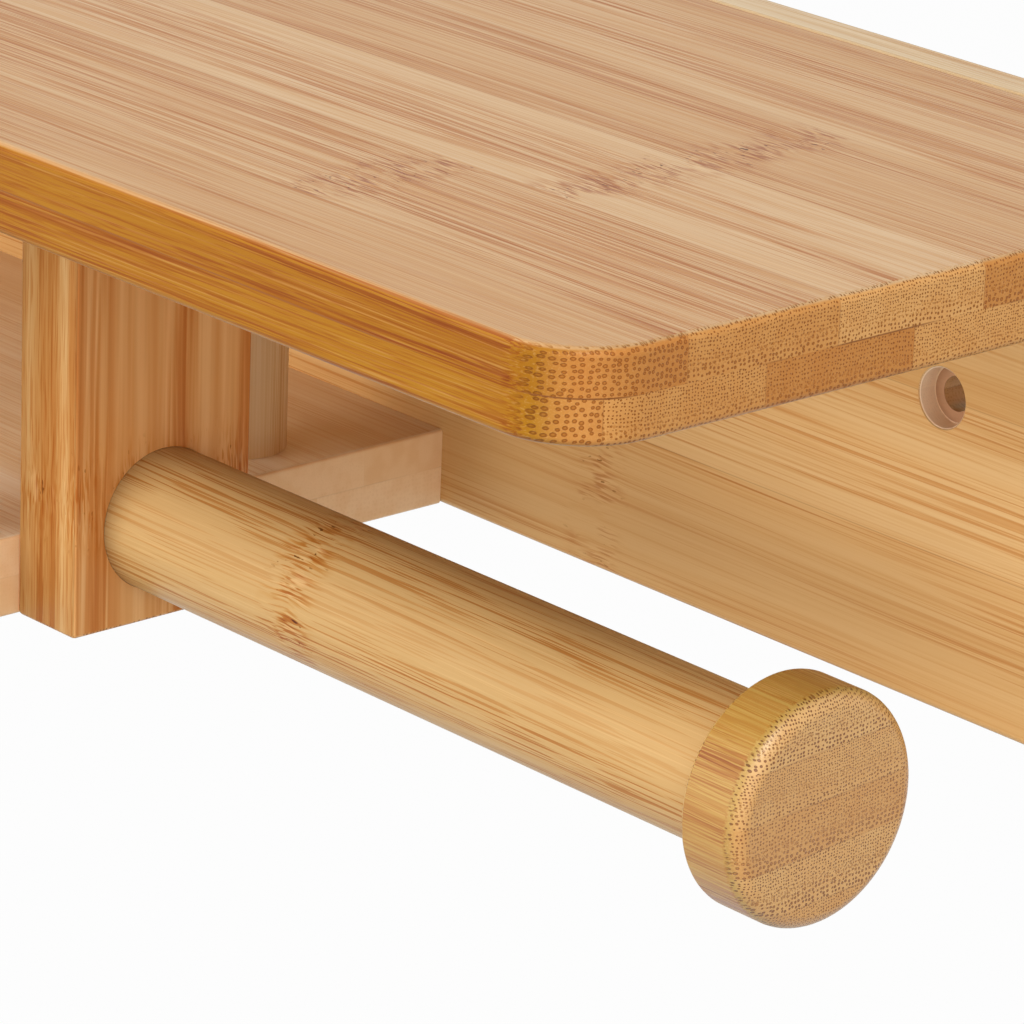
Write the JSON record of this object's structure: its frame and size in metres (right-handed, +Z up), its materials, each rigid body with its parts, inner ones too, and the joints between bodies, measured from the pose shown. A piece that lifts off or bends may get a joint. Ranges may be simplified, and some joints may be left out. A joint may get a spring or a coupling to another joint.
{
  "type": "toilet paper holder with shelf",
  "caption": "Wall-mounted bamboo toilet paper holder: a shelf on a back board, a fixed rod with a knob under it, and an open compartment beside the roll.",
  "frame": {"origin": "middle of the back board's rear face, at the height of the two wall screws", "axes": "+Z up, +X to the right of a person facing the wall, +Y into the wall"},
  "size_m": [0.4, 0.133, 0.091],
  "materials": {
    "shelf_bamboo": "clear satin lacquer on pale horizontal-grain bamboo",
    "back_bamboo": "clear satin lacquer on pale bamboo",
    "lower_bamboo": "clear satin lacquer on pinkish bamboo",
    "post_bamboo": "clear satin lacquer on reddish upright bamboo",
    "rod_bamboo": "clear satin lacquer on yellow bamboo",
    "knob_bamboo": "clear satin lacquer on turned bamboo",
    "pillar_bamboo": "clear satin lacquer on pale bamboo",
    "screw_steel": "bright zinc plating",
    "pin_beech": "plain unfinished beech"
  },
  "bodies": {
    "root": {"top_shelf": "shelf_bamboo", "back_board": "back_bamboo", "lower_shelf": "lower_bamboo", "roll_post": "post_bamboo", "roll_rod": "rod_bamboo", "roll_knob": "knob_bamboo", "pillar_rear_right": "pillar_bamboo", "pillar_front_right": "pillar_bamboo", "pillar_rear_left": "pillar_bamboo", "pillar_front_left": "pillar_bamboo", "top_shelf_screws": "screw_steel", "lower_shelf_screws": "screw_steel", "pillar_screws": "screw_steel", "rod_screw": "screw_steel", "pillar_pins": "pin_beech", "post_top_pins": "pin_beech", "post_shelf_pins": "pin_beech", "knob_pin": "pin_beech"}
  },
  "joints": []
}
